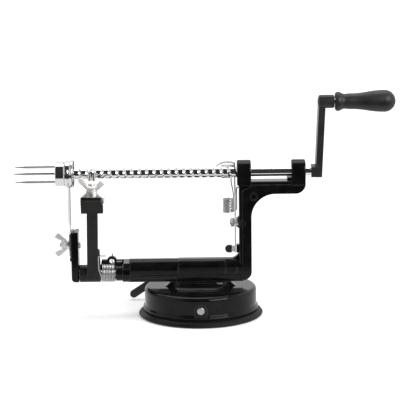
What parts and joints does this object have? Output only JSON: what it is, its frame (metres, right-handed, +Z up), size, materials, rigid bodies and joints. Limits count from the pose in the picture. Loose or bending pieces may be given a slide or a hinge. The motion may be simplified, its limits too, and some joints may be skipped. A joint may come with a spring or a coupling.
{
  "type": "apple peeler",
  "caption": "Hand cranked apple peeler with a feed screw, fork, sprung peeling arm, corer ring and slicer strip on a round suction base.",
  "frame": {"origin": "on the table, at the centre of the round underside of the suction cup", "axes": "+X runs along the feed screw from the fork towards the crank, +Y points away from the person who turns the crank, +Z is up"},
  "size_m": [0.3019, 0.1008, 0.1808],
  "materials": {
    "black_paint": "glossy baked enamel on cast metal",
    "rubber": "matt grey-black rubber",
    "black_plastic": "satin moulded plastic",
    "polished_chrome": "bright plated",
    "blade_steel": "bright rolled strip with ground edges",
    "nickel_hardware": "bright plated hardware",
    "spring_steel": "drawn spring wire",
    "plain_steel": "plain machined steel"
  },
  "bodies": {
    "frame": {"suction_cup": "rubber", "base_housing": "black_paint", "frame_screws": "plain_steel", "frame_casting": "black_paint", "release_bolt": "nickel_hardware", "release_nut": "nickel_hardware", "release_washers": "nickel_hardware", "release_spring": "spring_steel", "peel_arm_pin": "plain_steel", "peel_arm_spring": "spring_steel", "corer_ring": "polished_chrome", "slicer_blade": "blade_steel", "slicer_bolt": "nickel_hardware", "slicer_washers": "nickel_hardware"},
    "lever_set": {"suction_lever": "black_plastic", "lever_axle": "plain_steel", "lift_cam": "plain_steel", "axle_clip": "spring_steel"},
    "stud": {"cup_stud": "plain_steel"},
    "carriage": {"feed_shaft": "polished_chrome"},
    "crank": {"feed_thread": "polished_chrome", "fork_hub": "polished_chrome", "fork_prongs": "polished_chrome", "crank_arm": "black_paint", "crank_pin": "nickel_hardware", "knob_spindle": "nickel_hardware"},
    "handle": {"knob": "black_plastic"},
    "peeler": {"peel_arm": "black_paint", "blade_holder": "blade_steel", "peeling_blade": "blade_steel", "blade_bolt": "nickel_hardware", "blade_washer": "nickel_hardware"},
    "blade_nut": {"blade_wing_nut": "nickel_hardware"},
    "slicer_nut": {"slicer_wing_nut": "nickel_hardware"},
    "release": {"release_lever": "nickel_hardware", "half_nut": "nickel_hardware", "release_grip": "black_plastic"}
  },
  "joints": [
    {"name": "screw_feed", "type": "slide", "parent": "frame", "child": "carriage", "axis": [1, 0, 0], "range_m": [0, 0.1125]},
    {"name": "crank_turn", "type": "hinge", "parent": "carriage", "child": "crank", "pos_m": [0.0939, 0, 0.1155], "axis": [1, 0, 0], "range_deg": [0, 6840]},
    {"name": "knob_spin", "type": "hinge", "parent": "crank", "child": "handle", "pos_m": [0.1305, -0.00796, 0.17214], "axis": [1, 0, 0], "continuous": true},
    {"name": "peel_arm_swing", "type": "hinge", "parent": "frame", "child": "peeler", "pos_m": [-0.0885, -0.0025, 0.0347], "axis": [1, 0, 0], "range_deg": [0, 38], "stiffness_Nm_per_rad": 0.12, "springref_deg": -85.94, "deforming": ["peel_arm_spring"]},
    {"name": "release_swing", "type": "hinge", "parent": "frame", "child": "release", "pos_m": [0.0284, 0, 0.075], "axis": [-1, 0, 0], "range_deg": [0, 9], "stiffness_Nm_per_rad": 0.44, "springref_deg": -20.05, "deforming": ["release_spring"]},
    {"name": "suction_lever_turn", "type": "hinge", "parent": "frame", "child": "lever_set", "pos_m": [0, 0.0488, 0.0132], "axis": [0, 1, 0], "range_deg": [0, 175]},
    {"name": "cup_lift", "type": "slide", "parent": "frame", "child": "stud", "axis": [0, 0, 1], "range_m": [0, 0.003]},
    {"name": "blade_nut_turn", "type": "hinge", "parent": "peeler", "child": "blade_nut", "pos_m": [-0.0843, -0.02348, 0.10538], "axis": [0, -0.5446, 0.8387], "range_deg": [0, 360]},
    {"name": "slicer_nut_turn", "type": "hinge", "parent": "frame", "child": "slicer_nut", "pos_m": [-0.108, 0, 0.058], "axis": [-1, 0, 0], "range_deg": [0, 360]}
  ],
  "couplings": [
    {"joint": "screw_feed", "follows": "crank_turn", "m_per_rad": 0.0009422},
    {"joint": "cup_lift", "follows": "suction_lever_turn", "m_per_rad": 0.00095493}
  ]
}
